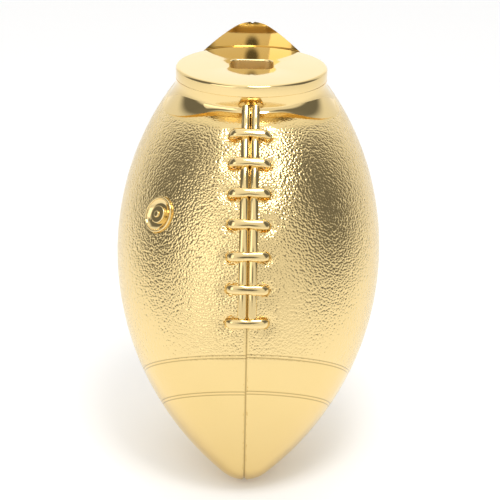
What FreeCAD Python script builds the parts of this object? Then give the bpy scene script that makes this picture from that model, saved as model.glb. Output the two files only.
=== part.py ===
import FreeCAD, Part

import math
import os

os.makedirs("parts", exist_ok=True)
Vector = FreeCAD.Vector

# Gold-plated hollow football made to sit on a round pedestal by an oblique round seat.
# Millimetres. Row frame: origin at the centre of the seat face, +Z out of the seat,
# the laced side towards -Y. The ball itself is drawn in its own frame (long axis on Z,
# cut tip up, laces on -Y) and then leaned over by the seat's tilt.

# --- Ball
ball_length = 280.0
ball_diameter = 157.0
tip_radius = 20.6
shell_wall = 2.5
seam_width = 2.4
seam_depth = 0.8
lip_reach = 2.5
lip_clearance = 0.1

# --- Seat
seat_tilt = 32.5
seat_setback = 38.9
seat_forward = 38.2
seat_radius = 45.0
plate_thickness = 7.0
plate_edge = 1.8
land_depth = 12.0
pocket_clearance = 0.5
neck_undercut = 2.7
collar_width = 6.5
skirt_wall = 2.0
skirt_reach = 6.0
fit_clearance = 0.15

# --- Socket in the seat plate, and the nut that takes the pedestal's rod
socket_width = 25.0
socket_length = 21.0
socket_depth = 22.0
socket_corner = 5.0
socket_offset = 3.0
socket_wall = 2.0
rod_radius = 3.2
thread_radius = 2.5
nut_across_flats = 10.0
nut_height = 5.0
nut_boss_wall = 2.0
hexagon_sides = 6

# --- Laces
strand_diameter = 5.2
strand_spacing = 5.5
strand_rise = -0.4
strand_low = -62.0
lace_count = 7
lace_lowest = -59.4
lace_setback = 27.7
lace_half_width = 10.8
lace_width = 5.6
lace_rise = 4.2
lace_edge = 1.5
eyelet_radius = 2.6
eyelet_depth = 1.2

# --- Inflation valve
valve_height = 4.7
valve_turn = 41.5
bezel_radius = 10.5
bezel_lip = 1.6
bezel_rise = 0.9
dish_depth = 0.65
valve_sink = 1.3
boss_radius = 5.4
boss_rise = 1.8
plug_radius = 2.0
plug_rise = 2.6

# --- Stripe lines round the plain end
stripe_places = (-76.8, -96.0)
stripe_groove = 0.4

# --- Worked out from the sizes above
half_length = ball_length / 2
seat_reach = half_length - seat_setback
ball_radius = ball_diameter / 2
tip_centre = half_length - tip_radius
arc_radius = (tip_centre**2 + ball_radius**2 - tip_radius**2) / (2 * (ball_radius - tip_radius))
arc_offset = arc_radius - ball_radius
tangent_angle = math.atan2(tip_centre, arc_offset)
pocket_radius = seat_radius + pocket_clearance
mouth_radius = seat_radius - collar_width
neck_low = -land_depth - collar_width
skirt_low = -land_depth - skirt_reach
seat_edge_height = seat_reach - seat_radius * math.sin(math.radians(seat_tilt))
lace_highest = seat_edge_height - lace_setback
lace_pitch = (lace_highest - lace_lowest) / (lace_count - 1)
far = ball_length
sliver = 1.0


def surface_radius(height):
    """Radius of the ball's main arc at a height along its long axis."""
    return math.sqrt(arc_radius**2 - height**2) - arc_offset


def in_row(shape):
    """Place a shape drawn in the ball's frame into the row frame."""
    placed = shape.copy()
    placed.rotate(Vector(0, 0, 0), Vector(1, 0, 0), -seat_tilt)
    tilt = math.radians(seat_tilt)
    back = -seat_reach * math.sin(tilt) + seat_forward * math.cos(tilt)
    drop = -seat_reach * math.cos(tilt) - seat_forward * math.sin(tilt)
    placed.translate(Vector(0, back, drop))
    return placed


def ball_solid(inset):
    """The football's outline, two tip arcs and one long arc, turned about the long axis."""
    body = arc_radius - inset
    tip = tip_radius - inset
    middle = (tangent_angle + math.pi / 2) / 2
    top = Vector(0, 0, half_length - inset)
    tangent = Vector(body * math.cos(tangent_angle) - arc_offset, 0, body * math.sin(tangent_angle))
    shoulder = Vector(tip * math.cos(middle), 0, tip_centre + tip * math.sin(middle))
    equator = Vector(ball_radius - inset, 0, 0)

    def below(point):
        return Vector(point.x, point.y, -point.z)

    edges = [
        Part.Arc(top, shoulder, tangent).toShape(),
        Part.Arc(tangent, equator, below(tangent)).toShape(),
        Part.Arc(below(tangent), below(shoulder), below(top)).toShape(),
        Part.LineSegment(below(top), top).toShape(),
    ]
    face = Part.Face(Part.Wire(edges))
    return face.revolve(Vector(0, 0, 0), Vector(0, 0, 1), 360)


def seat_cylinder(radius, low, high):
    """A cylinder on the seat's axis between two heights."""
    return Part.makeCylinder(radius, high - low, Vector(0, 0, low))


def carved_ball(inset, clearance=0.0):
    """The ball with the seat's pocket taken out, all its walls moved in by the inset."""
    pocket = seat_cylinder(pocket_radius + inset, -land_depth - inset, far)
    return in_row(ball_solid(inset + clearance)).cut(pocket)


def slab(left, right):
    """Everything between two planes across the ball."""
    return Part.makeBox(right - left, 2 * far, 2 * far, Vector(left, -far, -far))


def rounded_block(width, length, corner, low, high, centre_y):
    """A vertical block with rounded corners."""
    block = Part.makeBox(width, length, high - low, Vector(-width / 2, centre_y - length / 2, low))
    upright = [edge for edge in block.Edges if abs(edge.BoundBox.ZLength - (high - low)) < sliver / 100]
    return block.makeFillet(corner, upright)


def on_surface(height, turn, shape):
    """Stand a shape, drawn on +Z, on the ball's surface at a height and a turn from the laces."""
    slope = math.degrees(math.asin(height / arc_radius))
    placed = shape.copy()
    placed.rotate(Vector(0, 0, 0), Vector(1, 0, 0), 90 - slope)
    placed.translate(Vector(0, -surface_radius(height), height))
    placed.rotate(Vector(0, 0, 0), Vector(0, 0, 1), -turn)
    return placed


def lace_heights():
    """Heights of the cross-laces along the ball's long axis, lowest first."""
    return [lace_lowest + lace_pitch * index for index in range(lace_count)]


def eyelets(radius, depth, rise):
    """One peg or pocket for each end of a cross-lace, pointing out of the ball."""
    pegs = []
    for side in (-1, 1):
        turn = math.degrees(math.asin(lace_half_width / ball_radius))
        peg = Part.makeCylinder(radius, depth + rise, Vector(0, 0, -depth))
        pegs.append((side * turn, peg))
    return pegs


def eyelet_pockets():
    """The shallow dimples that the cross-laces plug into."""
    pockets = []
    for height in lace_heights():
        for turn, peg in eyelets(eyelet_radius, eyelet_depth, sliver):
            pockets.append(in_row(on_surface(height, turn, peg)))
    return pockets


def valve_cylinder(radius, low, high):
    """A cylinder on the valve's axis, measured from the ball's surface."""
    cylinder = Part.makeCylinder(radius, high - low, Vector(0, 0, low))
    return in_row(on_surface(valve_height, valve_turn, cylinder))


def stripe_grooves():
    """The fine lines round the ball at the plain end."""
    grooves = []
    for height in stripe_places:
        ring = Part.makeTorus(surface_radius(height), stripe_groove, Vector(0, 0, height))
        grooves.append(in_row(ring))
    return grooves


def shell_bodies():
    """The two moulded halves, joined on the lace plane by a lip inside the left one."""
    outer = carved_ball(0)
    cavity = carved_ball(shell_wall)
    mouth = seat_cylinder(mouth_radius, skirt_low - sliver, -land_depth + sliver)
    channel = outer.cut(carved_ball(seam_depth)).common(slab(-seam_width / 2, seam_width / 2))
    trimmings = [mouth, channel] + eyelet_pockets() + stripe_grooves()
    trimmings.append(valve_cylinder(bezel_radius, -valve_sink, sliver))
    wall = outer.cut(cavity).cut(trimmings)
    half_wall = shell_wall / 2
    lip = carved_ball(half_wall + lip_clearance).cut(cavity).common(slab(0, lip_reach))
    rebate = carved_ball(half_wall).cut(cavity).common(slab(0, lip_reach + lip_clearance))
    left = wall.common(slab(-far, 0)).fuse(lip.cut(mouth)).removeSplitter()
    right = wall.common(slab(0, far)).cut(rebate)
    return left, right


def seat_plate():
    """The round seat with its socket tub and the boss that holds the nut."""
    disc = seat_cylinder(seat_radius, -plate_thickness, 0)
    rims = [edge for edge in disc.Edges if edge.BoundBox.ZLength < sliver and edge.Length > seat_radius]
    top = [edge for edge in rims if edge.BoundBox.ZMax > -sliver]
    disc = disc.makeFillet(plate_edge, top)
    floor = -socket_depth - socket_wall
    tub = rounded_block(socket_width + 2 * socket_wall, socket_length + 2 * socket_wall,
                        socket_corner + socket_wall, floor, -plate_thickness, socket_offset)
    boss_radius_out = nut_across_flats / math.sqrt(3) + nut_boss_wall
    boss = Part.makeCylinder(boss_radius_out, nut_height, Vector(0, socket_offset, floor - nut_height))
    socket = rounded_block(socket_width, socket_length, socket_corner, -socket_depth, sliver,
                           socket_offset)
    rod_hole = Part.makeCylinder(rod_radius, socket_wall + sliver, Vector(0, socket_offset, floor))
    solid = disc.fuse([tub, boss]).cut([socket, rod_hole, nut_block()])
    return solid.removeSplitter()


def nut_block():
    """The hexagon of the captive nut."""
    corner = nut_across_flats / math.sqrt(3)
    top = -socket_depth - socket_wall
    points = []
    for index in range(hexagon_sides):
        angle = 2 * math.pi * index / hexagon_sides
        points.append(Vector(corner * math.cos(angle), socket_offset + corner * math.sin(angle), top))
    points.append(points[0])
    return Part.Face(Part.makePolygon(points)).extrude(Vector(0, 0, -nut_height))


def rod_nut():
    """The captive nut that the pedestal's rod screws into."""
    top = -socket_depth - socket_wall
    thread = Part.makeCylinder(thread_radius, nut_height, Vector(0, socket_offset, top - nut_height))
    return nut_block().cut(thread)


def seat_collar():
    """The seamless ring between the plate and the ball, with a skirt into the ball's mouth."""
    neck_height = -plate_thickness - neck_low
    neck = Part.makeCone(seat_radius - neck_undercut, seat_radius, neck_height, Vector(0, 0, neck_low))
    skirt = seat_cylinder(mouth_radius - fit_clearance, skirt_low, -plate_thickness)
    bore = seat_cylinder(mouth_radius - skirt_wall, skirt_low - sliver, far)
    neck_bore = seat_cylinder(mouth_radius - fit_clearance, neck_low - sliver, -plate_thickness)
    return neck.cut(carved_ball(0)).cut(neck_bore).fuse(skirt).cut(bore).removeSplitter()


def arc_tube(radius, section, low_angle, high_angle):
    """A round bar bent to an arc in the XZ plane about the origin."""
    start = Vector(radius * math.cos(low_angle), 0, radius * math.sin(low_angle))
    heading = Vector(-math.sin(low_angle), 0, math.cos(low_angle))
    profile = Part.Face(Part.Wire([Part.makeCircle(section, start, heading)]))
    turn = math.degrees(high_angle - low_angle)
    return profile.revolve(Vector(0, 0, 0), Vector(0, -1, 0), turn)


def lace_strand(side):
    """A lengthwise lace, bent along the ball's long arc beside the seam."""
    section = strand_diameter / 2
    centre = arc_radius + strand_rise
    low = math.asin(strand_low / arc_radius)
    high = math.asin(seat_edge_height / arc_radius)
    bar = arc_tube(centre, section, low, high)
    end = Part.makeSphere(section, Vector(centre * math.cos(low), 0, centre * math.sin(low)))
    bar = bar.fuse(end)
    bar.rotate(Vector(0, 0, 0), Vector(0, 0, 1), -90)
    bar.translate(Vector(side * strand_spacing / 2, arc_offset, 0))
    return in_row(bar).cut([in_row(ball_solid(0)), seat_keepout()])


def seat_keepout():
    """The space that the collar and the plate take up."""
    return seat_cylinder(seat_radius, neck_low, far)


def cross_lace(height):
    """One cross-lace: an arch over the strands, flat below, with a peg in each dimple."""
    half = lace_half_width + lace_width / 2
    foot = -half**2 / (2 * ball_radius)
    side_left = Vector(-half, -lace_width / 2, foot)
    side_right = Vector(half, -lace_width / 2, foot)
    crown = Vector(0, -lace_width / 2, lace_rise)
    base_left = Vector(-half, -lace_width / 2, foot - lace_rise)
    base_right = Vector(half, -lace_width / 2, foot - lace_rise)
    edges = [
        Part.Arc(side_left, crown, side_right).toShape(),
        Part.LineSegment(side_right, base_right).toShape(),
        Part.LineSegment(base_right, base_left).toShape(),
        Part.LineSegment(base_left, side_left).toShape(),
    ]
    blank = Part.Face(Part.Wire(edges)).extrude(Vector(0, lace_width, 0))
    arcs = [edge for edge in blank.Edges if edge.Length > 2 * half and edge.BoundBox.ZMax > 0]
    blank = blank.makeFillet(lace_edge, arcs)
    tunnel_half = (strand_spacing + strand_diameter) / 2 + fit_clearance
    tunnel_high = strand_rise + strand_diameter / 2 + fit_clearance
    tunnel = Part.makeBox(2 * tunnel_half, 2 * lace_width, tunnel_high + lace_rise,
                          Vector(-tunnel_half, -lace_width, -lace_rise))
    arch = in_row(on_surface(height, 0, blank)).cut(in_row(ball_solid(0)))
    pegs = []
    for turn, peg in eyelets(eyelet_radius - fit_clearance, eyelet_depth, fit_clearance):
        pegs.append(in_row(on_surface(height, turn, peg)))
    return arch.fuse(pegs).cut(in_row(on_surface(height, 0, tunnel)))


def valve_pieces():
    """The valve's ring, its dished button and the plug in the middle."""
    tube = valve_cylinder(bezel_radius, -valve_sink, bezel_rise)
    dish = valve_cylinder(bezel_radius - bezel_lip, -dish_depth, bezel_rise + sliver)
    seat = valve_cylinder(boss_radius, -valve_sink - sliver, sliver)
    bezel = tube.cut([dish, seat])
    boss = valve_cylinder(boss_radius, -valve_sink, boss_rise)
    plug_hole = valve_cylinder(plug_radius, -valve_sink - sliver, plug_rise + sliver)
    plug = valve_cylinder(plug_radius, -valve_sink, plug_rise)
    return bezel, boss.cut(plug_hole), plug


def export(node, shape):
    """Write one node."""
    shape.exportStep("parts/" + node + ".step")
    print(node, len(shape.Solids), round(shape.Volume / 1000, 2), "cm3", shape.isValid())


shell_left, shell_right = shell_bodies()
strand_left = lace_strand(-1)
strand_right = lace_strand(1)
bezel, boss, plug = valve_pieces()

export("shell_left", shell_left)
export("shell_right", shell_right)
export("seat_collar", seat_collar())
export("seat_plate", seat_plate())
export("rod_nut", rod_nut())
export("lace_strand_left", strand_left)
export("lace_strand_right", strand_right)
for index, height in enumerate(lace_heights()):
    export("cross_lace_" + str(index + 1), cross_lace(height))
export("valve_bezel", bezel)
export("valve_boss", boss)
export("valve_plug", plug)
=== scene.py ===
# %% [markdown]
# # A gold-plated football on its seat
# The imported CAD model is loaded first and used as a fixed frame. Each visible piece is
# then remade as a fine mesh in the same place, and the CAD node that it stands for is
# hidden. Everything is in metres, and +Z points out of the round seat.

# %% Load the frame
import math

import bpy
import numpy
from mathutils import Matrix, Vector, noise


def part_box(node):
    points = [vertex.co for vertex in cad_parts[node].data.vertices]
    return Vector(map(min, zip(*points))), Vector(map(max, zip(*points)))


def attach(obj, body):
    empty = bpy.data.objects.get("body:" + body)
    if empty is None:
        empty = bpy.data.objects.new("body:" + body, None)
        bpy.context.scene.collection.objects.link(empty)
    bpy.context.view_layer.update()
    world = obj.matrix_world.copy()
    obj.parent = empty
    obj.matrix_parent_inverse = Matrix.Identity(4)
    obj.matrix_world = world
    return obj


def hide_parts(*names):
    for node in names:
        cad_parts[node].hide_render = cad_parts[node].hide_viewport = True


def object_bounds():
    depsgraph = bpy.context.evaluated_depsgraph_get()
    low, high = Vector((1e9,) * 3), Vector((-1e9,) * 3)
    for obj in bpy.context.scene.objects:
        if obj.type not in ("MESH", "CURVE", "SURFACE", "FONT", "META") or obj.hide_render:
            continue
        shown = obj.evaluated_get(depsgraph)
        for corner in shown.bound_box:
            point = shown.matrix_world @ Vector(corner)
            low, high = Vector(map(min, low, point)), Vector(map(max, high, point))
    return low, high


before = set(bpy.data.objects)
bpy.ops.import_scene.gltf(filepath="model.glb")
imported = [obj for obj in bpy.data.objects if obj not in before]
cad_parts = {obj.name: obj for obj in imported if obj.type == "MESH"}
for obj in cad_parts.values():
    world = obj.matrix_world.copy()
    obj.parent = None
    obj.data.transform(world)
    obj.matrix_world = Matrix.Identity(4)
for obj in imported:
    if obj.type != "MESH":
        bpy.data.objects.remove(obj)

cad_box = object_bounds()
print("CAD box", cad_box)

# %% [markdown]
# ## Sizes
# A designer keeps each size once. The ball is drawn in its own frame, long axis upright,
# because a turned shape is simplest there, and is then leaned over by the seat's tilt.
# The seat's radius and heights are read from the CAD nodes' boxes.

# %% Sizes of the ball and the seat
MM = 0.001
half_length = 140.0 * MM
ball_radius = 78.5 * MM
tip_radius = 20.6 * MM
shell_wall = 2.5 * MM
seat_tilt = math.radians(32.5)
seat_reach = 101.1 * MM
seat_forward = 38.2 * MM

plate_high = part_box("seat_plate")[1]
collar_low, collar_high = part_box("seat_collar")
seat_radius = plate_high[0]
plate_under = collar_high[2]
pocket_radius = seat_radius + 0.5 * MM
land_depth = 12.0 * MM
mouth_radius = 38.5 * MM

tip_centre = half_length - tip_radius
arc_radius = (tip_centre**2 + ball_radius**2 - tip_radius**2) / (2 * (ball_radius - tip_radius))
arc_offset = arc_radius - ball_radius
tangent_angle = math.atan2(tip_centre, arc_offset)
print("seat radius", seat_radius, "plate underside", plate_under, "long arc", arc_radius)

# %% [markdown]
# ### From the ball's frame to the row frame
# Leaning is one turn about X and one shift. The outline is walked by its arc length, so that the
# grid's rows can be spaced evenly over the tips as well as over the long arc.

# %% Place a point of the ball's frame in the row frame
lean_cos = math.cos(seat_tilt)
lean_sin = math.sin(seat_tilt)
centre_back = -seat_reach * lean_sin + seat_forward * lean_cos
centre_up = -seat_reach * lean_cos - seat_forward * lean_sin


def in_row(points):
    """Lean points of the ball's frame over and move them to the row frame."""
    points = numpy.asarray(points, dtype=float)
    out = points.copy()
    out[:, 1] = points[:, 1] * lean_cos + points[:, 2] * lean_sin + centre_back
    out[:, 2] = -points[:, 1] * lean_sin + points[:, 2] * lean_cos + centre_up
    return out


def meridian(length, inset=0.0):
    """Radius, height and outward slope at a distance along the outline from its low tip."""
    tip = tip_radius - inset
    body = arc_radius - inset
    tip_run = tip * (math.pi / 2 - tangent_angle)
    body_run = 2 * body * tangent_angle
    total = 2 * tip_run + body_run
    upper = length > total / 2
    along = numpy.where(upper, total - length, length)
    in_tip = along < tip_run
    tip_turn = math.pi / 2 - along / tip
    body_turn = tangent_angle - (along - tip_run) / body
    turn = numpy.where(in_tip, tip_turn, body_turn)
    radius = numpy.where(in_tip, tip * numpy.cos(turn), body * numpy.cos(turn) - arc_offset)
    height = numpy.where(in_tip, tip_centre + tip * numpy.sin(turn), body * numpy.sin(turn))
    sign = numpy.where(upper, 1.0, -1.0)
    return numpy.maximum(radius, 0.0), sign * height, sign * turn, total


print("outline length", meridian(numpy.zeros(1))[3])

# %% [markdown]
# ## Mesh helpers
# Meshes are written as lists of points and faces. Cuts use closed tools, as a lathe or a mill
# would, and are applied at once so that every finished piece is a plain mesh.

# %% Make and cut pieces


def new_piece(name, points, faces):
    """A smooth mesh object at the origin, from points and faces that already point outwards."""
    mesh = bpy.data.meshes.new(name)
    mesh.from_pydata([tuple(point) for point in points], [], faces)
    mesh.validate()
    mesh.shade_smooth()
    piece = bpy.data.objects.new(name, mesh)
    bpy.context.collection.objects.link(piece)
    return piece


def apply_modifiers(piece):
    """Turn a piece with live modifiers into a plain mesh."""
    graph = bpy.context.evaluated_depsgraph_get()
    mesh = bpy.data.meshes.new_from_object(piece.evaluated_get(graph), preserve_all_data_layers=True,
                                           depsgraph=graph)
    piece.modifiers.clear()
    piece.data = mesh
    return piece


def cut_away(piece, tool):
    """Cut a closed tool out of a closed piece."""
    cutter = piece.modifiers.new("cut", "BOOLEAN")
    cutter.operation = "DIFFERENCE"
    cutter.solver = "MANIFOLD"
    cutter.object = tool
    return apply_modifiers(piece)


print("cutting helpers ready")

# %% [markdown]
# ### Shading and clearing up
# Smooth shading hides the facets. Real edges are kept crisp by marking them sharp.

# %% Shading and clearing up


def sharpen(piece, degrees):
    """Smooth shading with sharp edges where faces meet at more than an angle."""
    piece.data.shade_smooth()
    piece.data.set_sharp_from_angle(angle=math.radians(degrees))


def drop(*pieces):
    """Remove the tools that a cut has used."""
    for piece in pieces:
        bpy.data.objects.remove(piece, do_unlink=True)


print("shading helpers ready")

# %% [markdown]
# ### Skins through rings
# Most of the smooth pieces are one skin through a stack of rings. A turned piece is the same
# thing with every ring a circle.

# %% Skins through rings


def loft(name, loops):
    """A closed skin through loops of equal length, with a point at each end."""
    count = len(loops[1])
    points = [loops[0][0]]
    for loop in loops[1:-1]:
        points.extend(loop)
    points.append(loops[-1][0])
    faces = []
    rings = len(loops) - 2
    for turn in range(count):
        after = (turn + 1) % count
        faces.append((0, 1 + after, 1 + turn))
        for ring in range(rings - 1):
            base = 1 + ring * count
            faces.append((base + turn, base + after, base + count + after, base + count + turn))
        base = 1 + (rings - 1) * count
        faces.append((base + turn, base + after, len(points) - 1))
    return new_piece(name, points, faces)


def circle(radius, height, count):
    """A horizontal ring of points."""
    angles = numpy.arange(count) * 2 * math.pi / count
    return [(radius * math.cos(a), radius * math.sin(a), height) for a in angles]


def turned(name, outline, count):
    """A closed piece turned on the Z axis from an outline of (radius, height)."""
    loops = [circle(radius, height, count) for radius, height in outline]
    loops[0] = [(0.0, 0.0, outline[0][1])]
    loops[-1] = [(0.0, 0.0, outline[-1][1])]
    return loft(name, loops)


print("skin helpers ready")

# %% [markdown]
# ## The two half shells
# A football is moulded in halves. Each half here is a grid that follows the outline's arcs,
# with its rows and columns packed closer where there is something fine to show: the seam
# beside the laces, the stripe lines, the lace dimples and the valve. Every point is then
# pressed in along its normal, more at the seam, lines and dimples and a little for the grain.

# %% Fine features of the shells
seam_half = 1.25 * MM
seam_depth = 0.75 * MM
stripe_heights = (-76.8 * MM, -96.0 * MM)
stripe_slip = 0.5 * MM
stripe_pair = 1.5 * MM
stripe_half = 0.45 * MM
stripe_depth = 0.16 * MM
grain_depth = 0.10 * MM
smooth_margin = 7.5 * MM
cove_width = 15.0 * MM
cove_depth = 1.9 * MM
collar_reach = -40 * MM
collar_back = 12 * MM
valve_pit = 1.6 * MM
run_per_height = 1.045
grid_coarse = 1.0 * MM
grid_fine = 0.3 * MM
grain_pitch = 2.3 * MM
lace_heights = [(-59.4 + 18.1 * index) * MM for index in range(7)]
lace_side = 11.0 * MM
dimple_radius = 4.2 * MM
dimple_depth = 1.6 * MM
valve_height = 4.7 * MM
valve_turn = math.radians(41.5)
valve_radius = 10.5 * MM


def spaced(stops, coarse, fine, spread, end):
    """Places from 0 to end, fine near the stops and coarse elsewhere."""
    places = [0.0]
    while places[-1] < end:
        here = places[-1]
        nearest = min(abs(here - stop) for stop in stops)
        mix = min(1.0, nearest / spread)
        places.append(here + fine + (coarse - fine) * mix)
    places = numpy.array(places)
    return places * end / places[-1]


def grain_height(points):
    """Pebbled leather: rounded cells with valleys between, in the ball's frame."""
    heights = numpy.empty(len(points))
    for index, point in enumerate(points):
        where = Vector(point) / grain_pitch
        near = noise.voronoi(where)[0]
        heights[index] = min(1.0, (near[1] - near[0]) * 1.6)
    return heights


print("cross-laces at", [round(height / MM, 1) for height in lace_heights])

# %% [markdown]
# ### The grid of one half
# Rows run round the ball and columns from tip to tip. Each point's outward normal comes
# from the outline's slope there, so the relief can be laid on squarely.

# %% The grid of one half


def shell_grid(side):
    """Points and outward normals of one smooth half, with its numbers of rows and columns."""
    total = float(meridian(numpy.zeros(1))[3])
    stripe_runs = [total / 2 + height * run_per_height for height in stripe_heights]
    rows = spaced(stripe_runs, grid_coarse, grid_fine, 5 * MM, total)[1:-1]
    half_turn = math.pi * ball_radius
    columns = spaced([0.0, half_turn], grid_coarse, grid_fine, 6 * MM, half_turn) / ball_radius
    radius, height, slope, _ = meridian(rows)
    shape = (len(rows), len(columns))
    ring = numpy.repeat(radius, shape[1]).reshape(shape)
    up = numpy.repeat(height, shape[1]).reshape(shape)
    lean = numpy.repeat(slope, shape[1]).reshape(shape)
    turn = numpy.tile(columns, (shape[0], 1))
    x = side * ring * numpy.sin(turn)
    y = -ring * numpy.cos(turn)
    x[:, 0] = 0.0
    x[:, -1] = 0.0
    points = numpy.stack([x, y, up], axis=-1).reshape(-1, 3)
    normals = numpy.stack([side * numpy.sin(turn) * numpy.cos(lean), -numpy.cos(turn) * numpy.cos(lean),
                           numpy.sin(lean)], axis=-1).reshape(-1, 3)
    return points, normals, shape


print("grid of one half", shell_grid(1)[2])

# %% [markdown]
# ### Relief
# Relief is only ever inwards, so the shells stay inside the CAD model. The seam, the stripe
# lines, the lace dimples, the valve's pit and the cove round the collar each add to the depth,
# and the grain fades out beside all of them, as it does on a moulded ball.

# %% Relief of one half


def line_depth(points, side):
    """Depth of the seam and of the double stripe lines, which slip a little across the seam."""
    depth = seam_depth * numpy.clip(1 - (numpy.abs(points[:, 0]) / seam_half) ** 2, 0, 1)
    for line in stripe_heights:
        for pair in (-0.5, 0.5):
            away = (points[:, 2] - line - side * stripe_slip / 2 - pair * stripe_pair) / stripe_half
            depth = depth + stripe_depth * numpy.exp(-away**2)
    return depth


def shell_relief(points, side):
    """How far each point moves along its normal, never outwards."""
    across = numpy.abs(points[:, 0])
    up = points[:, 2]
    front = points[:, 1] < 0
    grained = numpy.clip((up - stripe_heights[0] - 1.5 * MM) / (2 * MM), 0, 1)
    grained *= numpy.clip((across - seam_half) / (1.2 * MM), 0, 1)
    depth = line_depth(points, side)
    for lace in lace_heights:
        along = (up - lace) / dimple_radius
        over = (across - lace_side) / dimple_radius
        depth = depth + dimple_depth * numpy.exp(-(along**2 + over**2) * 1.2) * front
        grained *= 1 - 0.8 * numpy.exp(-(along**2 * 0.6 + over**2 * 0.4)) * front
    valve_x = -ball_radius * math.sin(valve_turn)
    valve_y = -ball_radius * math.cos(valve_turn)
    reach = numpy.sqrt((points[:, 0] - valve_x)**2 + (points[:, 1] - valve_y)**2 + (up - valve_height)**2)
    depth = depth + valve_pit * numpy.clip((valve_radius - reach) / (1.0 * MM), 0, 1)
    grained *= numpy.clip((reach - valve_radius - 1.0 * MM) / (2.5 * MM), 0, 1)
    seated = in_row(points)
    from_seat = numpy.hypot(seated[:, 0], seated[:, 1]) - seat_radius
    high_up = seated[:, 2] > collar_reach
    bare = numpy.clip((from_seat - smooth_margin) / (1.5 * MM), 0, 1)
    grained *= numpy.where((seated[:, 1] < collar_back) & high_up, bare, 1.0)
    cove = numpy.clip(1 - from_seat / cove_width, 0, 1) ** 2 * (seated[:, 1] < 0) * high_up
    depth = depth + cove_depth * numpy.minimum(cove, 1.2) * numpy.clip(-seated[:, 1] / (30 * MM), 0, 1)
    return numpy.minimum(grain_depth * grained * (grain_height(points) - 0.75) - depth, 0.0)


print("deepest seam", round(float(line_depth(numpy.zeros((1, 3)), 1)[0]) / MM, 2), "mm")

# %% [markdown]
# ### Closing the halves
# Each half is closed by one flat face on the lace plane, so that the seat, the mouth and the
# inside can be cut out of it like a solid.

# %% Make the two halves


def shell_half(name, side):
    """One closed half of the ball, side -1 or 1, with its grain and grooves."""
    points, normals, (deep, wide) = shell_grid(side)
    on_plane = numpy.abs(points[:, 0]) < 1e-9
    points = points + normals * shell_relief(points, side)[:, None]
    points[on_plane, 0] = 0.0
    low_tip = [0.0, 0.0, -half_length + seam_depth]
    high_tip = [0.0, 0.0, half_length - seam_depth]
    points = in_row(numpy.vstack([points, [low_tip], [high_tip]]))
    low = deep * wide
    high = low + 1
    faces = []
    for row in range(deep - 1):
        for column in range(wide - 1):
            corner = row * wide + column
            faces.append((corner, corner + 1, corner + wide + 1, corner + wide))
    for column in range(wide - 1):
        top = (deep - 1) * wide + column
        faces.append((low, column + 1, column))
        faces.append((high, top, top + 1))
    cap = [low] + [row * wide for row in range(deep)] + [high]
    cap += [row * wide + wide - 1 for row in reversed(range(deep))]
    faces.append(tuple(cap))
    if side < 0:
        faces = [face[::-1] for face in faces]
    return new_piece(name, points, faces)


half_pieces = {-1: shell_half("half_shell_left", -1), 1: shell_half("half_shell_right", 1)}
print("points in each half", [len(half.data.vertices) for half in half_pieces.values()])

# %% [markdown]
# ### Cutting the seat's pocket
# The round pedestal drops straight on to the seat, so a cylinder on the seat's axis is cut
# out of the tip. What is left of the tip is a curved wall behind the seat. The inside is
# cut out with a smaller ball, less a larger cylinder, which leaves an even wall.

# %% Cutters for the pocket, the inside and the mouth
above_seat = 60 * MM


def round_cutter(name, radius, low, high):
    """A closed cylinder on the seat's axis."""
    return turned(name, [(0, low), (radius, low), (radius, high), (0, high)], 360)


def inner_ball(name, inset):
    """A plain closed ball inside the outline by an inset."""
    total = float(meridian(numpy.zeros(1), inset)[3])
    runs = numpy.linspace(0, total, 120)
    radius, height, _, _ = meridian(runs, inset)
    loops = []
    for ring, level in zip(radius, height):
        angles = numpy.arange(160) * 2 * math.pi / 160
        loop = numpy.stack([ring * numpy.cos(angles), ring * numpy.sin(angles),
                            numpy.full(len(angles), level)], axis=-1)
        loops.append([tuple(point) for point in in_row(loop)])
    return loft(name, loops)


pocket = round_cutter("pocket", pocket_radius, -land_depth, above_seat)
mouth = round_cutter("mouth", mouth_radius, -land_depth - 2 * shell_wall, -land_depth + MM)
inside = inner_ball("inside", shell_wall)
inside_pocket = round_cutter("inside_pocket", pocket_radius + shell_wall, -land_depth - shell_wall,
                             above_seat)
cut_away(inside, inside_pocket)
for half in half_pieces.values():
    for tool in (pocket, inside, mouth):
        cut_away(half, tool)
    sharpen(half, 40)
    print(half.name, "triangles", sum(len(face.vertices) - 2 for face in half.data.polygons))

# %% [markdown]
# ## The seat plate, its socket and the collar
# The plate is one skin lofted through rings: from under the tub, round the rim, over the
# flat face, down the socket's rounded lip and on to its floor. Rings with the same number
# of points join a circle to a rounded rectangle with no seam.

# %% The seat plate
ring_count = 384
plate_edge = 1.8 * MM
socket_half = 12.5 * MM
socket_long = 10.5 * MM
socket_corner = 5.0 * MM
socket_back = 3.0 * MM
socket_depth = 22.0 * MM
socket_lip = 0.9 * MM
tub_wall = 2.0 * MM


def rounded_loop(half_wide, half_long, corner, height):
    """A ring of points on a rounded rectangle, spaced by angle from its centre."""
    loop = []
    for index in range(ring_count):
        angle = 2 * math.pi * index / ring_count
        way_x = math.cos(angle)
        way_y = math.sin(angle)
        low, high = 0.0, half_wide + half_long
        for _ in range(40):
            middle = (low + high) / 2
            over_x = max(abs(middle * way_x) - (half_wide - corner), 0)
            over_y = max(abs(middle * way_y) - (half_long - corner), 0)
            if math.hypot(over_x, over_y) > corner:
                high = middle
            else:
                low = middle
        loop.append((low * way_x, socket_back + low * way_y, height))
    return loop


def quarter(count):
    """Angles of a quarter turn, both ends included."""
    return [math.pi / 2 * step / count for step in range(count + 1)]


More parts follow.
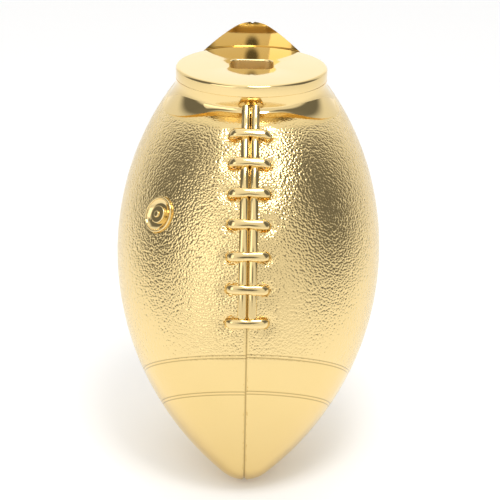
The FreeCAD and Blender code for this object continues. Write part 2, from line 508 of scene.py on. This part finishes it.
def seat_plate_piece():
    """The whole plate with tub and socket."""
    tub_floor = -socket_depth - tub_wall
    loops = [[(0.0, socket_back, tub_floor)]]
    tub = (socket_half + tub_wall, socket_long + tub_wall, socket_corner + tub_wall)
    loops.append(rounded_loop(*tub, tub_floor))
    loops.append(rounded_loop(*tub, plate_under))
    under_edge = 0.5 * MM
    for angle in quarter(4):
        loops.append(circle(seat_radius - under_edge + under_edge * math.sin(angle),
                            plate_under + under_edge - under_edge * math.cos(angle), ring_count))
    for angle in quarter(8):
        loops.append(circle(seat_radius - plate_edge + plate_edge * math.cos(angle),
                            -plate_edge + plate_edge * math.sin(angle), ring_count))
    for angle in quarter(6):
        grow = socket_lip * (1 - math.sin(angle))
        loops.append(rounded_loop(socket_half + grow, socket_long + grow, socket_corner + grow,
                                  -socket_lip + socket_lip * math.cos(angle)))
    floor_round = 2.0 * MM
    for angle in quarter(5):
        shrink = floor_round * (1 - math.cos(angle))
        loops.append(rounded_loop(socket_half - shrink, socket_long - shrink, socket_corner - shrink,
                                  -socket_depth + floor_round - floor_round * math.sin(angle)))
    loops.append([(0.0, socket_back, -socket_depth)])
    return loft("seat_disc", loops)


seat_disc = seat_plate_piece()
sharpen(seat_disc, 35)
print("seat points", len(seat_disc.data.vertices))

# %% [markdown]
# ### The collar
# The collar has to meet the ball all the way round, and the ball slopes. For each direction
# from the seat's axis, the ball's surface is found by halving, and a small curve then joins
# the collar's neck to it: tight at the front, flared at the sides.

# %% Find the ball under the seat
neck_undercut = 2.7 * MM
neck_ledge = 0.6 * MM
neck_foot = collar_low[2]
flare_front = 1.5 * MM
flare_side = 7.5 * MM
flare_from = -9.5 * MM
flare_over = 4.5 * MM
side_undercut = 0.3 * MM
blend_start = 0.97
blend_width = 0.60
highest_foot = -0.8 * land_depth
foot_sink = 0.2 * MM
skirt_depth = 3.0 * MM
neck_wall = 2 * MM
neck_bore_low = -30 * MM


def ball_outside(x, y, z):
    """Distance outside the ball's outline, below zero inside it, for points of the row frame."""
    up = (y - centre_back) * lean_sin + (z - centre_up) * lean_cos
    out = (y - centre_back) * lean_cos - (z - centre_up) * lean_sin
    ring = numpy.hypot(x, out)
    body = ring + arc_offset - numpy.sqrt(arc_radius**2 - numpy.minimum(abs(up), tip_centre) ** 2)
    tip = numpy.hypot(ring, abs(up) - tip_centre) - tip_radius
    return numpy.where(abs(up) < arc_radius * math.sin(tangent_angle), body, tip)


def ball_top(x, y):
    """Height of the ball's surface straight below the seat at each x and y."""
    low = numpy.full(len(x), -60.0) * MM
    high = numpy.full(len(x), 30.0) * MM
    for _ in range(40):
        middle = (low + high) / 2
        inside_ball = ball_outside(x, y, middle) < 0
        low = numpy.where(inside_ball, middle, low)
        high = numpy.where(inside_ball, high, middle)
    return low

under_front = float(ball_top(numpy.zeros(1), numpy.array([-seat_radius]))[0])
print("ball under the seat's front edge", round(under_front / MM, 1), "mm")

# %% [markdown]
# ### The collar's skin
# The blend from front to sides is eased at both ends, because mirror gold shows any kink.

# %% The collar


def collar_piece():
    """The ring under the plate: undercut at the front, then flared out to lie on the ball."""
    turn = numpy.arange(ring_count) * 2 * math.pi / ring_count
    way_x = numpy.cos(turn)
    way_y = numpy.sin(turn)

    def ring(radius, height):
        radius = radius + 0 * turn
        height = height + 0 * turn
        return list(zip(radius * way_x, radius * way_y, height))

    front = numpy.clip((blend_start - abs(way_x)) / blend_width, 0, 1) * (way_y < 0)
    front = front * front * (3 - 2 * front)
    undercut = side_undercut + (neck_undercut - side_undercut) * front
    foot_radius = seat_radius - undercut
    on_ball = ball_top(foot_radius * way_x, foot_radius * way_y)
    standing = numpy.clip((flare_from - on_ball) / flare_over, 0, 1)
    flare = (flare_side + (flare_front - flare_side) * front) * standing
    level = numpy.minimum(on_ball, highest_foot)
    reach = foot_radius + flare
    meet = numpy.where(standing > 0, ball_top(reach * way_x, reach * way_y) - foot_sink, level)
    gap = plate_under - level
    rise = numpy.minimum(0.9 * flare, (0.9 - 0.6 * front) * gap)
    loops = [ring(0, neck_foot)[:1], ring(mouth_radius - 0.4 * MM, neck_foot)]
    loops.append(ring(mouth_radius, numpy.minimum(meet, level) - skirt_depth))
    steps = 10
    for step in range(steps + 1):
        share = step / steps
        radius = reach * (1 - share) ** 2 + foot_radius * (1 - (1 - share) ** 2)
        height = meet * (1 - share) ** 2 + 2 * share * (1 - share) * level + (level + rise) * share**2
        loops.append(ring(radius, height))
    for step in range(1, steps + 1):
        share = step / steps
        radius = foot_radius + (undercut - neck_ledge * front) * share
        loops.append(ring(radius, level + rise + (plate_under - level - rise) * share))
    loops.append(ring(0, plate_under)[:1])
    return loft("seat_neck", loops)


seat_neck = collar_piece()
neck_bore = round_cutter("neck_bore", mouth_radius - neck_wall, neck_bore_low, above_seat)
cut_away(seat_neck, neck_bore)
seat_neck.data.materials.clear()
sharpen(seat_neck, 35)
drop(pocket, mouth, inside, inside_pocket, neck_bore)
print("neck triangles", sum(len(face.vertices) - 2 for face in seat_neck.data.polygons))

# %% [markdown]
# ## The laces
# Two lengthwise strands lie on the seam and seven cross-laces go over them. Both follow the
# ball's long arc, so Geometry Nodes makes them: one tree sweeps a round profile along a
# curve, and one puts a copy of a cross-lace at each of seven places on the arc.

# %% Node trees written as expressions


class Link:
    """A node's output that can be used in sums."""

    def __init__(self, graph, socket):
        self.graph = graph
        self.socket = socket

    def _with(self, operation, left, right):
        return self.graph.maths(operation, left, right)

    def __add__(self, other):
        return self._with("ADD", self, other)

    __radd__ = __add__

    def __sub__(self, other):
        return self._with("SUBTRACT", self, other)

    def __rsub__(self, other):
        return self._with("SUBTRACT", other, self)

    def __mul__(self, other):
        return self._with("MULTIPLY", self, other)

    __rmul__ = __mul__

    def __truediv__(self, other):
        return self._with("DIVIDE", self, other)


print("links can be used in sums")

# %% [markdown]
# ### A tree being written
# One method adds any node and sets its sockets by name. Two more add a colour blend and a Math
# node.

# %% A node tree being written


class Graph:
    """A node tree being written."""

    def __init__(self, tree, maths_type):
        self.tree = tree
        self.maths_type = maths_type

    def node(self, kind, settings=None, **values):
        """Add a node, set its settings, then its sockets by name, and return the node."""
        made = self.tree.nodes.new(kind)
        for key, value in (settings or {}).items():
            setattr(made, key, value)
        for key, value in values.items():
            self.feed(made.inputs[key.replace("_", " ")], value)
        return made

    def feed(self, socket, value):
        """Link or set a socket."""
        if isinstance(value, Link):
            self.tree.links.new(value.socket, socket)
        elif isinstance(value, bpy.types.NodeSocket):
            self.tree.links.new(value, socket)
        else:
            socket.default_value = value

    def out(self, made, name):
        """A node's output as a link."""
        return Link(self, made.outputs[name])

    def mix(self, factor, first, second):
        """A blend of two colours."""
        made = self.node("ShaderNodeMix", {"data_type": "RGBA"}, Factor=factor, A=first, B=second)
        return made.outputs["Result"]

    def maths(self, operation, *values):
        """One Math node."""
        made = self.tree.nodes.new(self.maths_type)
        made.operation = operation
        for socket, value in zip(made.inputs, values):
            self.feed(socket, value)
        return Link(self, made.outputs[0])


print("graph ready")

# %% [markdown]
# ### Geometry trees
# A tree gets named sizes as inputs. They are set on the modifier by identifier, the result is
# turned into a mesh, and the modifier goes.

# %% Geometry trees


def geometry_tree(name, sizes):
    """A Geometry Nodes tree with a geometry input, named sizes and a geometry output."""
    tree = bpy.data.node_groups.new(name, "GeometryNodeTree")
    tree.interface.new_socket("Geometry", in_out="INPUT", socket_type="NodeSocketGeometry")
    for size, kind in sizes:
        tree.interface.new_socket(size, in_out="INPUT", socket_type=kind)
    tree.interface.new_socket("Geometry", in_out="OUTPUT", socket_type="NodeSocketGeometry")
    graph = Graph(tree, "ShaderNodeMath")
    entry = graph.node("NodeGroupInput")
    leave = graph.node("NodeGroupOutput")
    return graph, entry, leave


def finish_tree(graph, entry, leave, shape):
    """End a tree: real geometry, smooth shading and its finish, then out. Returns the tree."""
    real = graph.node("GeometryNodeRealizeInstances", Geometry=shape)
    smooth = graph.node("GeometryNodeSetShadeSmooth", Geometry=real.outputs["Geometry"])
    finish = graph.node("GeometryNodeSetMaterial", Geometry=smooth.outputs["Geometry"],
                        Material=entry.outputs["Finish"])
    graph.feed(leave.inputs["Geometry"], finish.outputs["Geometry"])
    return graph.tree


def run_tree(piece, tree, values):
    """Put a tree on a piece, set its inputs by identifier, and turn the result into a mesh."""
    change = piece.modifiers.new("shape", "NODES")
    change.node_group = tree
    names = {item.name: item.identifier for item in tree.interface.items_tree if item.in_out == "INPUT"}
    for name, value in values.items():
        change[names[name]] = value
    graph = bpy.context.evaluated_depsgraph_get()
    mesh = bpy.data.meshes.new_from_object(piece.evaluated_get(graph), depsgraph=graph)
    made = bpy.data.objects.new(piece.name + "_made", mesh)
    bpy.context.collection.objects.link(made)
    name = piece.name
    drop(piece)
    made.name = name
    made.data.name = name
    return made


print("tree helpers ready")

# %% [markdown]
# ## Gold plating
# Plated gold is a metal from end to end of its surface, so its colour is its reflection.
# What varies is how clean that reflection is: the grain breaks it up into small domes, and the
# smooth pieces are close to a mirror, with a faint ripple from the moulding.

# %% Colours and lines of the plating
pale_gold = (0.86, 0.665, 0.325, 1.0)
deep_gold = (0.80, 0.60, 0.255, 1.0)
# The darkest gold is painted shade, laid into the parting and stripe grooves.
groove_shade_gold = (0.30, 0.19, 0.06, 1.0)
pebble_scale = 720.0
pebble_height = 0.0007


def line_shade(graph, place):
    """How much painted shade darkens the plating: 1 deep in the parting and stripe lines, 0 elsewhere."""
    parts = graph.node("ShaderNodeSeparateXYZ", Vector=place)
    across = graph.maths("ABSOLUTE", graph.out(parts, "X"))
    up = (graph.out(parts, "Y") - centre_back) * lean_sin + (graph.out(parts, "Z") - centre_up) * lean_cos
    shade = graph.maths("MAXIMUM", 0.0, 1.0 - across / (0.7 * MM))
    for line in stripe_heights:
        for pair in (-0.5, 0.5):
            slip = graph.maths("SIGN", graph.out(parts, "X")) * (stripe_slip / 2)
            away = graph.maths("ABSOLUTE", up - slip - (line + pair * stripe_pair))
            shade = graph.maths("MAXIMUM", shade, 0.8 - away / (0.5 * MM))
    return graph.maths("MINIMUM", shade, 0.7)


print("groove shade gold", groove_shade_gold)

# %% [markdown]
# ### One gold, several finishes
# The same plating differs by roughness, ripple and grain, and some copies are darkened by painted
# shade. The grain is a field of small domes, one for each cell of a Voronoi texture.

# %% Gold finishes


def new_finish(name):
    """A new material with its node tree and its shader."""
    material = bpy.data.materials.new(name)
    material.use_nodes = True
    tree = material.node_tree
    return material, Graph(tree, "ShaderNodeMath"), tree.nodes["Principled BSDF"]


def gold(name, roughness, ripple, ripple_size, grain, lined=False, painted_shade=0.0):
    """Mirror gold with a soft tint change and a moulded ripple; if asked, grain, painted shade in the lines
    and painted shade over the whole finish.
    """
    material, graph, shader = new_finish(name)
    shader.inputs["Metallic"].default_value = 1.0
    place = graph.out(graph.node("ShaderNodeTexCoord"), "Object")
    broad = graph.node("ShaderNodeTexNoise", Vector=place, Scale=22.0, Detail=3.0)
    fine = graph.node("ShaderNodeTexNoise", Vector=place, Scale=ripple_size, Detail=4.0)
    shade = graph.out(broad, "Fac")
    speck = graph.out(fine, "Fac")
    # The tint's random tone, pushed darker by painted shade where a finish asks for it.
    plated = graph.mix(shade * 0.5 + painted_shade, pale_gold, deep_gold)
    if lined:
        # Painted shade in the parting and stripe grooves.
        plated = graph.mix(line_shade(graph, place), plated, groove_shade_gold)
    graph.feed(shader.inputs["Base Color"], plated)
    graph.feed(shader.inputs["Roughness"], roughness + speck * roughness * 0.8)
    bump = graph.node("ShaderNodeBump", Strength=ripple, Distance=0.0004, Height=speck)
    if grain:
        cells = graph.node("ShaderNodeTexVoronoi", {"feature": "F1"}, Vector=place, Scale=pebble_scale)
        from_middle = graph.out(cells, "Distance")
        pebble = 1.0 - from_middle * from_middle * 1.4
        lifted = graph.node("ShaderNodeBump", Strength=grain, Distance=pebble_height, Height=pebble,
                            Normal=graph.out(bump, "Normal"))
        graph.feed(shader.inputs["Normal"], graph.out(lifted, "Normal"))
    else:
        graph.feed(shader.inputs["Normal"], graph.out(bump, "Normal"))
    return material


gold_pebbled = gold("gold_pebbled", 0.065, 0.10, 900.0, 0.34, lined=True)
gold_polished = gold("gold_polished", 0.045, 0.03, 160.0, 0.0)
gold_lace = gold("gold_lace", 0.07, 0.06, 400.0, 0.0)
gold_recess = gold("gold_recess", 0.32, 0.10, 300.0, 0.0)
gold_valve = gold("gold_valve", 0.06, 0.05, 300.0, 0.0)
print("materials", [m.name for m in (gold_pebbled, gold_polished, gold_lace, gold_valve)])

# %% [markdown]
# ### Grained above the stripes, smooth below
# The half shells have three finishes: grained, smooth at the plain end and beside the seam and
# the collar, and polished on the wall behind the seat. The smooth end is a little darker and the
# wall much darker, by painted shade.

# %% Share the finishes out over the shells
# Darker copies of the gold: painted shade on the smooth end and on the wall.
gold_smooth_end = gold("gold_smooth_end", 0.08, 0.55, 90.0, 0.10, lined=True, painted_shade=0.35)
gold_wall = gold("gold_wall", 0.05, 0.05, 160.0, 0.0, painted_shade=0.6)
axis_up = Vector((0.0, lean_sin, lean_cos))
ball_centre = Vector((0.0, centre_back, centre_up))
lace_way = Vector((0.0, -lean_cos, lean_sin))
for half in half_pieces.values():
    half.data.materials.clear()
    half.data.materials.append(gold_pebbled)
    half.data.materials.append(gold_smooth_end)
    half.data.materials.append(gold_wall)
    for face in half.data.polygons:
        middle = face.center
        height = (middle - ball_centre).dot(axis_up)
        from_axis = math.hypot(middle.x, middle.y)
        on_wall = middle.z > -land_depth - MM and from_axis < pocket_radius + 0.05 * MM
        beside_collar = middle.y < collar_back and middle.z > collar_reach
        near_seat = beside_collar and from_axis < seat_radius + smooth_margin
        near_seam = abs(middle.x) < seam_half + 0.5 * MM
        smooth = height < stripe_heights[0] or near_seat or near_seam
        face.material_index = 2 if on_wall else (1 if smooth else 0)
    shares = [sum(face.material_index == index for face in half.data.polygons) for index in range(3)]
    print(half.name, "faces grained, smooth and polished", shares)

# %% [markdown]
# ### Lengthwise strands
# Each strand follows the ball's arc, pressed down a little under every cross-lace, and climbs
# a little towards the collar at its upper end.

# %% Lengthwise strands
strand_half_wide = 2.55 * MM
strand_flatness = 0.72
strand_side = 2.75 * MM
strand_rise = 0.2 * MM
strand_low = -62.0 * MM
strand_high = 75.0 * MM
strand_bend = 58.0 * MM
strand_climb = 4.0 * MM
strand_points = 160
press_reach = 3 * MM
press_depth = 0.35 * MM
press_inwards = 0.05 * MM


def arc_place(height, rise):
    """A place over the seam at a height on the ball, and the way out of the ball there."""
    turn = math.asin(height / arc_radius)
    reach = (arc_radius + rise) * math.cos(turn) - arc_offset
    up = (arc_radius + rise) * math.sin(turn)
    out = lace_way * math.cos(turn) + axis_up * math.sin(turn)
    return ball_centre + lace_way * reach + axis_up * up, out


def strand_tree():
    """Sweep a round profile with rounded ends along a curve."""
    graph, entry, leave = geometry_tree("strand_sweep", [("Radius", "NodeSocketFloat"),
                                                          ("Points", "NodeSocketInt"),
                                                          ("Finish", "NodeSocketMaterial")])
    along = graph.node("GeometryNodeResampleCurve", Curve=entry.outputs["Geometry"],
                       Count=entry.outputs["Points"])
    round_profile = graph.node("GeometryNodeCurvePrimitiveCircle", Resolution=24,
                               Radius=entry.outputs["Radius"])
    flat_profile = graph.node("GeometryNodeTransform", Geometry=round_profile.outputs["Curve"],
                              Scale=(1.0, strand_flatness, 1.0))
    sweep = graph.node("GeometryNodeCurveToMesh", Curve=along.outputs["Curve"],
                       Profile_Curve=flat_profile.outputs["Geometry"], Fill_Caps=True)
    return finish_tree(graph, entry, leave, sweep.outputs["Mesh"])


sweep_tree = strand_tree()
print("strand tree nodes", len(sweep_tree.nodes))

# %% [markdown]
# ### The two strands
# The curve carries the shape, and the tree gives it its flattened round section.

# %% The two strands


def strand_piece(name, side):
    """One lengthwise lace, pressed down a little where a cross-lace goes over it."""
    data = bpy.data.curves.new(name, "CURVE")
    data.dimensions = "3D"
    data.twist_mode = "Z_UP"
    line = data.splines.new("POLY")
    line.points.add(strand_points - 1)
    for index in range(strand_points):
        height = strand_low + (strand_high - strand_low) * index / (strand_points - 1)
        press = sum(math.exp(-((height - lace) / press_reach) ** 2) for lace in lace_heights)
        climb = strand_climb * max(0.0, (height - strand_bend) / (strand_high - strand_bend)) ** 2
        where, _ = arc_place(height, strand_rise + climb - press_depth * press)
        where.x = side * (strand_side - press_inwards * press)
        line.points[index].co = (where.x, where.y, where.z, 1.0)
    piece = bpy.data.objects.new(name, data)
    bpy.context.collection.objects.link(piece)
    made = run_tree(piece, sweep_tree, {"Radius": strand_half_wide, "Points": strand_points,
                                        "Finish": gold_lace})
    sharpen(made, 60)
    return made


strands = {-1: strand_piece("strand_left", -1), 1: strand_piece("strand_right", 1)}
strand_places = [vertex.co.x for vertex in strands[1].data.vertices]
print("strand width", round((max(strand_places) - min(strand_places)) / MM, 2), "mm")

# %% [markdown]
# ### Cross-laces
# One lace is drawn at the origin and the tree stands a copy at each of the seven places. A
# fixed seed turns each copy a little, as hand-pulled laces are.

# %% One cross-lace
lace_half = 13.0 * MM
lace_half_width = 2.8 * MM
lace_rise = 4.1 * MM
lace_half_high = 1.75 * MM
lace_sag = 1.1 * MM
lace_turn_from = 0.62
lace_turn_down = 24 * MM
lace_squash = 0.85


def cross_lace_blank():
    """A plump bar, arched over the strands, whose ends turn down into the dimples."""
    loops = []
    stations = 41
    around = 28
    for step in range(stations):
        share = -1 + 2 * step / (stations - 1)
        x = share * lace_half
        drop_down = share**2 * lace_sag + max(0.0, abs(share) - lace_turn_from) ** 2 * lace_turn_down
        end = math.sqrt(max(0.0, 1 - abs(share) ** 6))
        waist = 1 - 0.10 * math.exp(-(share / 0.16) ** 2)
        half_wide = lace_half_width * end * waist
        half_high = lace_half_high * end
        middle = lace_rise - lace_half_high - drop_down
        loop = []
        for index in range(around):
            angle = 2 * math.pi * index / around
            across = math.copysign(abs(math.cos(angle)) ** lace_squash, math.cos(angle))
            high = math.copysign(abs(math.sin(angle)) ** lace_squash, math.sin(angle))
            loop.append((x, across * half_wide, middle + high * half_high))
        loops.append(loop)
    loops[0] = [loops[0][0]]
    loops[-1] = [loops[-1][0]]
    return loft("cross_lace_blank", loops)


print("cross-lace length", round(2 * lace_half / MM, 1), "mm")

# %% [markdown]
# ### Seven places for it
# The way out of the ball is stored on each point, so the tree knows how to stand the lace.

# %% Places and the row of laces


def lace_places():
    """A mesh of seven points on the long arc, each with the way out of the ball stored on it."""
    mesh = bpy.data.meshes.new("lace_places")
    places = [arc_place(height, 0.0) for height in lace_heights]
    mesh.from_pydata([tuple(where) for where, _ in places], [], [])
    ways = mesh.attributes.new("way_out", "FLOAT_VECTOR", "POINT")
    for index, (_, out) in enumerate(places):
        ways.data[index].vector = out
    piece = bpy.data.objects.new("cross_laces", mesh)
    bpy.context.collection.objects.link(piece)
    return piece


def lace_tree():
    """Put a copy of a lace on each point, standing on the way out stored there."""
    graph, entry, leave = geometry_tree("lace_row", [("Lace", "NodeSocketObject"),
                                                      ("Uneven", "NodeSocketFloat"),
                                                      ("Seed", "NodeSocketInt"),
                                                      ("Finish", "NodeSocketMaterial")])
    blank = graph.node("GeometryNodeObjectInfo", Object=entry.outputs["Lace"])
    way = graph.node("GeometryNodeInputNamedAttribute", {"data_type": "FLOAT_VECTOR"}, Name="way_out")
    stand = graph.node("FunctionNodeAlignRotationToVector", {"axis": "Z", "pivot_axis": "X"},
                       Vector=way.outputs["Attribute"])
    chance = graph.node("FunctionNodeRandomValue", {"data_type": "FLOAT"}, Seed=entry.outputs["Seed"])
    swing = (graph.out(chance, "Value") - 0.5) * Link(graph, entry.outputs["Uneven"])
    turn = graph.node("ShaderNodeCombineXYZ", Z=swing)
    turned_way = graph.node("FunctionNodeRotateRotation", {"rotation_space": "LOCAL"},
                            Rotation=stand.outputs["Rotation"], Rotate_By=turn.outputs["Vector"])
    copies = graph.node("GeometryNodeInstanceOnPoints", Points=entry.outputs["Geometry"],
                        Instance=blank.outputs["Geometry"], Rotation=turned_way.outputs["Rotation"])
    return finish_tree(graph, entry, leave, copies.outputs["Instances"])


lace_blank = cross_lace_blank()
cross_laces = run_tree(lace_places(), lace_tree(), {"Lace": lace_blank, "Uneven": 0.07, "Seed": 4,
                                                    "Finish": gold_lace})
drop(lace_blank)
print("cross-lace faces", len(cross_laces.data.polygons))

# %% [markdown]
# ## The valve
# Three turned pieces on one axis: a thin raised ring with a dish inside it, a round button
# in the dish, and the small plug that the pump's needle goes through.

# %% Valve pieces
bezel_wide = 1.4 * MM
boss_radius = 5.2 * MM
plug_radius = 1.9 * MM
dish_depth = 1.3 * MM
ring_sink = 1.9 * MM
ring_edge = 0.7 * MM


def valve_place():
    """Where the valve stands on the ball, and the way out of the ball there."""
    slope = math.asin(valve_height / arc_radius)
    flat = Vector((-math.sin(valve_turn), 0.0, 0.0)) + lace_way * math.cos(valve_turn)
    radius = math.sqrt(arc_radius**2 - valve_height**2) - arc_offset
    out = flat * math.cos(slope) + axis_up * math.sin(slope)
    return ball_centre + flat * radius + axis_up * valve_height, out.normalized()


def stand_valve(piece):
    """Put a turned piece on the valve's axis, in its mesh."""
    where, out = valve_place()
    turn = Vector((0, 0, 1)).rotation_difference(out).to_matrix().to_4x4()
    turn.translation = where
    piece.data.transform(turn)
    return piece


print("valve stands at", tuple(round(value, 4) for value in valve_place()[0]))

# %% [markdown]
# ### Ring, button and nub
# Their sections are turned about the valve's axis, with the edges that show rounded.

# %% Ring, button and nub


def valve_ring():
    """The raised ring and its dish."""
    outer = valve_radius
    edge = ring_edge
    brim = outer - bezel_wide
    inner = boss_radius + 0.3 * MM
    outline = [(0, -ring_sink), (outer - 0.1 * MM, -ring_sink)]
    for angle in quarter(6):
        outline.append((outer - edge + edge * math.cos(angle), edge * math.sin(angle)))
    for angle in quarter(6)[1:]:
        outline.append((outer - edge - bezel_wide * math.sin(angle) * 0.5,
                        edge - edge * (1 - math.cos(angle))))
    for step in range(1, 12):
        share = step / 12
        outline.append((brim - (brim - inner) * share, -dish_depth * math.sin(share * math.pi * 0.62)))
    outline.append((0, -dish_depth))
    return stand_valve(turned("valve_ring", outline, 160))


def valve_dome(name, radius, low, rise, edge, crown):
    """A round button with a rounded edge and a slight crown."""
    outline = [(0, low), (radius, low)]
    for angle in quarter(6):
        outline.append((radius - edge + edge * math.cos(angle), rise - edge + edge * math.sin(angle)))
    for step in range(1, 6):
        share = step / 6
        outline.append(((radius - edge) * (1 - share), rise + crown * math.sin(share * math.pi / 2)))
    outline.append((0, rise + crown))
    return stand_valve(turned(name, outline, 128))


valve_dish = valve_ring()
valve_button = valve_dome("valve_button", boss_radius, -1.5 * MM, 0.8 * MM, 0.7 * MM, 0.3 * MM)
valve_nub = valve_dome("valve_nub", plug_radius, 0.5 * MM, 1.9 * MM, 0.6 * MM, 0.15 * MM)
for piece in (valve_dish, valve_button, valve_nub):
    piece.data.materials.append(gold_valve)
    sharpen(piece, 50)
print("valve pieces", [piece.name for piece in (valve_dish, valve_button, valve_nub)])

# %% [markdown]
# ## Tie the pieces to the frame
# Every remade piece rides on the one body, and the CAD nodes that it stands for are hidden.

# %% Ride, replace and give the seat its finishes
seat_disc.data.materials.append(gold_polished)
seat_disc.data.materials.append(gold_recess)
for face in seat_disc.data.polygons:
    in_socket = abs(face.center.x) < socket_half + MM and abs(face.center.y - socket_back) < socket_long + MM
    face.material_index = 1 if in_socket and -socket_depth - MM < face.center.z < -socket_lip else 0
seat_neck.data.materials.append(gold_polished)
made = [
    (half_pieces[-1], ["shell_left"], "gold_pebbled"),
    (half_pieces[1], ["shell_right"], "gold_pebbled"),
    (seat_disc, ["seat_plate"], "gold_polished"),
    (seat_neck, ["seat_collar"], "gold_polished"),
    (strands[-1], ["lace_strand_left"], "gold_lace"),
    (strands[1], ["lace_strand_right"], "gold_lace"),
    (cross_laces, ["cross_lace_" + str(number) for number in range(1, 8)], "gold_lace"),
    (valve_dish, ["valve_bezel"], "gold_valve"),
    (valve_button, ["valve_boss"], "gold_valve"),
    (valve_nub, ["valve_plug"], "gold_valve"),
]
for piece, nodes, finish in made:
    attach(piece, "root")
    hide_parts(*nodes)
print("pieces", len(made))

# %% [markdown]
# ### The nut
# The nut is under the socket's floor, inside the ball, so it keeps its CAD shape and only gets
# a finish: dull zinc.

# %% Zinc on the nut
zinc, zinc_graph, zinc_shader = new_finish("zinc_nut")
zinc_shader.inputs["Metallic"].default_value = 1.0
zinc_place = zinc_graph.out(zinc_graph.node("ShaderNodeTexCoord"), "Object")
zinc_cells = zinc_graph.node("ShaderNodeTexNoise", Vector=zinc_place, Scale=900.0, Detail=5.0)
zinc_shade = zinc_graph.out(zinc_cells, "Fac")
zinc_tint = zinc_graph.mix(zinc_shade, (0.50, 0.52, 0.54, 1.0), (0.72, 0.72, 0.70, 1.0))
zinc_graph.feed(zinc_shader.inputs["Base Color"], zinc_tint)
zinc_graph.feed(zinc_shader.inputs["Roughness"], 0.25 + zinc_shade * 0.2)
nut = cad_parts["rod_nut"]
nut.data.materials.clear()
nut.data.materials.append(zinc)
print("nut finish", nut.name)

# %% [markdown]
# ## Studio
# Mirror gold shows its surroundings, so the studio is drawn for its reflections: a white
# tent all round, brighter overhead, with a tall grey opening on each side of the camera.

# %% Floor
floor_half = 8.0
floor_level = cad_box[0][2] - 1 * MM
floor_mesh = bpy.data.meshes.new("studio_floor")
floor_mesh.from_pydata([(-floor_half, -floor_half, floor_level), (floor_half, -floor_half, floor_level),
                        (floor_half, floor_half, floor_level), (-floor_half, floor_half, floor_level)],
                       [], [(0, 1, 2, 3)])
floor = bpy.data.objects.new("studio_floor", floor_mesh)
bpy.context.collection.objects.link(floor)
floor_paint, _, floor_shader = new_finish("floor_paint")
floor_shader.inputs["Base Color"].default_value = (0.97, 0.97, 0.97, 1.0)
floor_shader.inputs["Roughness"].default_value = 0.9
floor_shader.inputs["Emission Color"].default_value = (1.0, 1.0, 1.0, 1.0)
floor_shader.inputs["Emission Strength"].default_value = 0.12
floor_mesh.materials.append(floor_paint)
print("floor at", round(floor_level, 4))

# %% [markdown]
# ### The tent
# The tent is painted by direction: dark openings to the sides, a bright back and top, and a small
# dark patch in front, where a camera would look in.

# %% The tent
world = bpy.data.worlds.new("tent")
bpy.context.scene.world = world
bpy.context.scene.view_settings.view_transform = "Standard"
world.use_nodes = True
tent = Graph(world.node_tree, "ShaderNodeMath")
way = tent.node("ShaderNodeTexCoord").outputs["Generated"]
parts = tent.node("ShaderNodeSeparateXYZ", Vector=way)
way_x = tent.out(parts, "X")
way_y = tent.out(parts, "Y")
way_z = tent.out(parts, "Z")


def ramp(value, low, high):
    """0 below low, 1 above high, smooth between."""
    made = tent.node("ShaderNodeMapRange", {"interpolation_type": "SMOOTHSTEP"}, Value=value,
                     From_Min=low, From_Max=high, To_Min=0.0, To_Max=1.0)
    return tent.out(made, "Result")


side_turn = tent.maths("ABSOLUTE", tent.maths("ARCTAN2", way_x, 0.0 - way_y))
edge = side_turn + tent.maths("MAXIMUM", way_z, 0.0) * 0.75
to_the_side = ramp(edge, 1.15, 1.50) * (1.0 - ramp(side_turn, 1.85, 2.25))
opening = to_the_side * (1.0 - ramp(way_z, 0.80, 0.95))
lens_high = (way_z - 0.34) * 1.1
lens_off = tent.maths("SQRT", side_turn * side_turn + lens_high * lens_high)
lens_slot = 1.0 - ramp(lens_off, 0.10, 0.26)
overhead = ramp(way_z, 0.55, 0.85)
behind = ramp(side_turn, 2.5, 2.8)
white = 0.93 + overhead * 0.15 + behind * 0.30
brightness = white * (1.0 - opening * 0.80) * (1.0 - lens_slot * 0.85)
background = world.node_tree.nodes["Background"]
tent.feed(background.inputs["Strength"], brightness)
background.inputs["Color"].default_value = (1.0, 0.995, 0.985, 1.0)
print("tent made")

# %% [markdown]
# ### Lamps
# An even tent leaves metal flat, so two soft lamps, one overhead and one on the left, add
# highlights.

# %% Lamps


def soft_lamp(name, place, aim, size, power):
    """A square area light that faces a point."""
    data = bpy.data.lights.new(name, "AREA")
    data.shape = "SQUARE"
    data.size = size
    data.energy = power
    lamp = bpy.data.objects.new(name, data)
    bpy.context.collection.objects.link(lamp)
    lamp.location = place
    lamp.rotation_euler = (Vector(aim) - Vector(place)).to_track_quat("-Z", "Y").to_euler()
    return lamp


middle = tuple(ball_centre)
soft_lamp("lamp_top", (0.15, -0.35, 0.95), middle, 0.35, 4.0)
soft_lamp("lamp_left", (-0.9, -0.9, 0.55), middle, 0.9, 2.0)

# %% [markdown]
# ## Camera
# The camera looks down on the seat at a low angle, which brings the ball's long axis
# upright in the picture with its plain tip leaning towards the camera.

# %% Camera
camera_distance = 1201 * MM
camera_rise = math.radians(20.4)
frame_width = 300.2 * MM
camera_roll = math.radians(1.05)
sight = Vector((0.0, -math.cos(camera_rise), math.sin(camera_rise)))
picture_up = Vector((0.0, math.sin(camera_rise), math.cos(camera_rise)))
target = ball_centre - picture_up * 2.5 * MM + Vector((1.0 * MM, 0, 0))
camera_data = bpy.data.cameras.new("camera")
camera_data.sensor_width = 36.0
camera_data.lens = 36.0 * camera_distance / frame_width
camera_data.clip_end = 50.0
camera = bpy.data.objects.new("camera", camera_data)
bpy.context.collection.objects.link(camera)
camera.location = target + sight * camera_distance
facing = sight.to_track_quat("Z", "Y").to_matrix()
spin = facing @ Matrix.Rotation(camera_roll, 3, "Z")
camera.rotation_euler = spin.to_euler()
bpy.context.scene.camera = camera
print("lens", round(camera_data.lens, 1))
